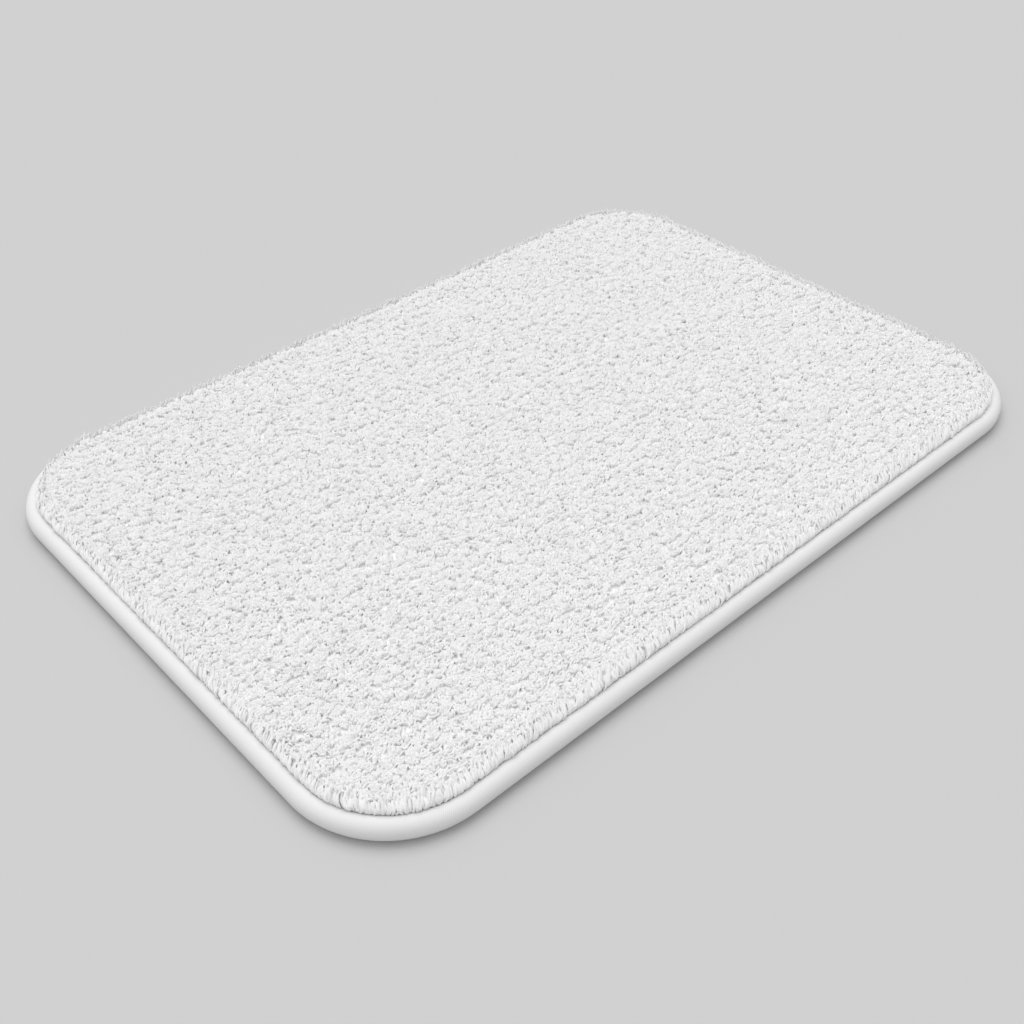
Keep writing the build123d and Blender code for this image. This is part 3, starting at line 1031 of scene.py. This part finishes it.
def build_label():
    """A blank tape folded in two, with a round fold."""
    box_low, box_high = low("care_label"), high("care_label")
    ply = (box_high.z - box_low.z) / 2
    thickness = 0.8 * ply
    length = box_high.x - box_low.x
    middle_z = box_high.z - ply
    run = [box_low.x + share * (length - ply) for share in (0, 0.3, 0.6, 0.9, 1)]
    turns = np.linspace(math.pi / 2, -math.pi / 2, 7)[1:-1]
    section = []
    # Round the outside of the fold, then back along its inside
    for reach, skin, way in ((ply, 0, 1), (ply - thickness, thickness, -1)):
        upper = [(x, box_high.z - skin) for x in run]
        fold = [(box_high.x - ply + reach * math.cos(t), middle_z + reach * math.sin(t)) for t in turns]
        lower = [(x, box_low.z + skin) for x in reversed(run)]
        section += (upper + fold + lower)[::way]
    columns = 17
    points = []
    for column in range(columns):
        y = box_low.y + (box_high.y - box_low.y) * column / (columns - 1)
        points += [(x, y, z) for x, z in section]
    label = make_mesh("care_label_tape", points, capped_faces(columns, len(section)))
    wear(label, woven_material("satin_tape_woven", linear("#F6F6F4"), 0.35 * MM, 0.45))
    finish_piece(label, "care_label")


# ---- Studio ----

BACKDROP = "#FFFFFF"
BRIGHTER = (-0.06, 0.05, 0.5)   # how fast the surround brightens along each axis
EVENLY = 0.45                   # its strength at the horizon
SUN_WAY = (-0.2, -0.35, -1.0)
SUN_ENERGY = 1.2
SUN_WIDTH = math.radians(50)    # wide, for soft shadows
# The camera: azimuth, elevation and roll, the point it looks at, its distance and its lens
CAMERA_ANGLES = (-41.57, 39.695, -1.092)
CAMERA_TARGET = (-64.33, -45.40, 0)
CAMERA_DISTANCE = 0.8775
CAMERA_LENS = 43.79


def build_studio():
    """A plain floor, a pale surround, one soft light overhead, and the camera."""
    floor = make_mesh(
        "floor", [(-30, -30, 0), (30, -30, 0), (30, 30, 0), (-30, 30, 0)], [(0, 1, 2, 3)],
        outwards=False)
    wear(floor, start_material("studio_floor_matt", colours().floor, 1.0, specular=0.0)[0])

    world = bpy.data.worlds.new("studio_surround")
    world.use_nodes = True
    world.node_tree.nodes["Background"].inputs["Color"].default_value = linear(BACKDROP)
    # Brighter overhead, so that the sides stand in soft shade
    toward = add_node(world.node_tree, "ShaderNodeTexCoord").outputs["Generated"]
    tilt = add_node(world.node_tree, VECTOR_MATH, {0: toward, 1: BRIGHTER}, operation="DOT_PRODUCT")
    glow = add_node(
        world.node_tree, MATH, {0: tilt.outputs["Value"], 1: EVENLY}, operation="ADD",
        use_clamp=True)
    world.node_tree.links.new(glow.outputs[0], world.node_tree.nodes["Background"].inputs["Strength"])
    bpy.context.scene.world = world

    light = bpy.data.lights.new("soft_box", "SUN")
    light.angle = SUN_WIDTH
    light.energy = SUN_ENERGY
    lamp = bpy.data.objects.new("soft_box", light)
    lamp.rotation_euler = Vector(SUN_WAY).to_track_quat("-Z", "Y").to_euler()
    bpy.context.scene.collection.objects.link(lamp)

    azimuth, elevation, roll = (math.radians(angle) for angle in CAMERA_ANGLES)
    back = Vector((math.sin(azimuth) * math.cos(elevation),
                   -math.cos(azimuth) * math.cos(elevation), math.sin(elevation)))
    right = Vector((0, 0, 1)).cross(back).normalized()
    up = back.cross(right)
    turned_right = math.cos(roll) * right + math.sin(roll) * up
    turned_up = -math.sin(roll) * right + math.cos(roll) * up
    lens = bpy.data.cameras.new("camera")
    lens.lens = CAMERA_LENS
    lens.sensor_width = 36
    lens.clip_start = 0.01
    camera = bpy.data.objects.new("camera", lens)
    axes = Matrix((turned_right, turned_up, back)).transposed()
    eye = Vector(CAMERA_TARGET) * MM + CAMERA_DISTANCE * back
    camera.matrix_world = Matrix.Translation(eye) @ axes.to_4x4()
    bpy.context.scene.collection.objects.link(camera)
    bpy.context.scene.camera = camera
    bpy.context.scene.view_settings.view_transform = "Standard"


# ---- Operators ----

class AddPile(bpy.types.Operator):
    """Adds the cut pile"""
    bl_idname = "bath_mat.add_pile"
    bl_label = "Pile"

    def execute(self, context):
        build_pile()
        return {"FINISHED"}


class AddWelt(bpy.types.Operator):
    """Adds the ribbed cover of the welt and its twisted cord"""
    bl_idname = "bath_mat.add_welt"
    bl_label = "Welt"

    def execute(self, context):
        tree = rib_tree()
        build_welt_cord(tree)
        build_welt_cover(tree)
        return {"FINISHED"}


class AddLayers(bpy.types.Operator):
    """Adds the foam and the backings, and finishes the rubber underside"""
    bl_idname = "bath_mat.add_layers"
    bl_label = "Layers"

    def execute(self, context):
        build_foam()
        build_backings()
        finish_grip_sheet()
        return {"FINISHED"}


class AddThreads(bpy.types.Operator):
    """Adds the seams' stitches and the label's tacks"""
    bl_idname = "bath_mat.add_threads"
    bl_label = "Threads"

    def execute(self, context):
        build_threads()
        return {"FINISHED"}


class AddLabel(bpy.types.Operator):
    """Adds the blank care label"""
    bl_idname = "bath_mat.add_label"
    bl_label = "Label"

    def execute(self, context):
        build_label()
        return {"FINISHED"}


class AddStudio(bpy.types.Operator):
    """Adds the floor, the light and the camera"""
    bl_idname = "bath_mat.add_studio"
    bl_label = "Studio"

    def execute(self, context):
        build_studio()
        return {"FINISHED"}


OPERATORS = (AddPile, AddWelt, AddLayers, AddThreads, AddLabel, AddStudio)


class BathMatPanel(bpy.types.Panel):
    """Lists the steps that build the bath mat"""
    bl_idname = "VIEW3D_PT_bath_mat"
    bl_label = "Bath Mat"
    bl_space_type = "VIEW_3D"
    bl_region_type = "UI"
    bl_category = "Bath Mat"

    def draw(self, context):
        for operator in OPERATORS:
            self.layout.operator(operator.bl_idname)


CLASSES = (BathMatSizes, BathMatColours, *OPERATORS, BathMatPanel)


def register():
    for made in CLASSES:
        bpy.utils.register_class(made)
    bpy.types.Scene.bath_mat_sizes = bpy.props.PointerProperty(type=BathMatSizes)
    bpy.types.Scene.bath_mat_colours = bpy.props.PointerProperty(type=BathMatColours)


def unregister():
    del bpy.types.Scene.bath_mat_colours
    del bpy.types.Scene.bath_mat_sizes
    for made in reversed(CLASSES):
        bpy.utils.unregister_class(made)


def main():
    register()
    for operator in OPERATORS:
        group, step = operator.bl_idname.split(".")
        getattr(getattr(bpy.ops, group), step)()


if __name__ == "__main__":
    main()
